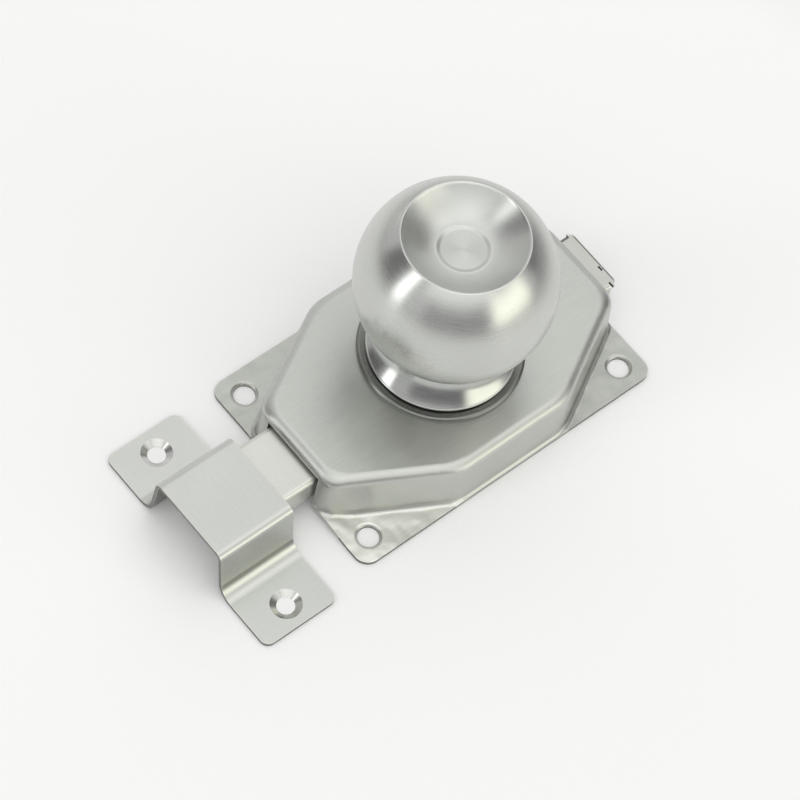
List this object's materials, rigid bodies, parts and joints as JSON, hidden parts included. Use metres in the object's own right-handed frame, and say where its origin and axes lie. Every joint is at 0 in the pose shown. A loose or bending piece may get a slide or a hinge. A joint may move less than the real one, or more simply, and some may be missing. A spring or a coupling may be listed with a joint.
{
  "type": "toggle bolt latch",
  "caption": "Surface-mounted door bolt: a round knob turns a crank that slides a flat folded bolt through an octagonal pressed cover into a hat-shaped keeper.",
  "frame": {"origin": "the centre of the whole's box in X and Y, on the plane of the door's face; the knob's axis stands at x = 15.15 mm, y = 1.375 mm", "axes": "+X from the keeper to the bolt's tail, along the bolt's travel; +Z out of the door, along the knob's axis; +Y completes the frame"},
  "size_m": [0.1386, 0.0684, 0.0725],
  "materials": {
    "satin_steel": "satin, fine diffuse grain",
    "brushed_steel": "brushed along its length",
    "knob_steel": "satin, brushed round its axis",
    "bright_steel": "bright, turned",
    "plated_steel": "zinc-plated",
    "spring_steel": "blued spring steel"
  },
  "bodies": {
    "fixed": {"cover": "satin_steel", "rose_ring": "satin_steel", "spindle_bush": "plated_steel", "front_strap": "plated_steel", "rear_strap": "plated_steel", "friction_spring": "spring_steel", "keeper": "brushed_steel"},
    "knob": {"knob_ball": "knob_steel", "knob_dish": "knob_steel", "knob_cap": "knob_steel", "knob_neck": "bright_steel", "knob_core": "plated_steel", "knob_screw": "plated_steel", "spindle": "plated_steel", "upper_washer": "plated_steel", "crank_arm": "plated_steel", "crank_pin": "plated_steel", "lower_washer": "plated_steel", "wave_washer": "spring_steel", "circlip": "spring_steel"},
    "bolt": {"bolt_channel": "satin_steel"}
  },
  "joints": [
    {"name": "knob_turn", "type": "hinge", "parent": "fixed", "child": "knob", "pos_m": [0.01515, 0.00137, 0], "axis": [0, 0, -1], "range_deg": [0, 90]},
    {"name": "bolt_slide", "type": "slide", "parent": "fixed", "child": "bolt", "axis": [1, 0, 0], "range_m": [0, 0.0198]}
  ],
  "couplings": [
    {"joint": "bolt_slide", "follows": "knob_turn", "m_per_rad": 0.012604}
  ]
}
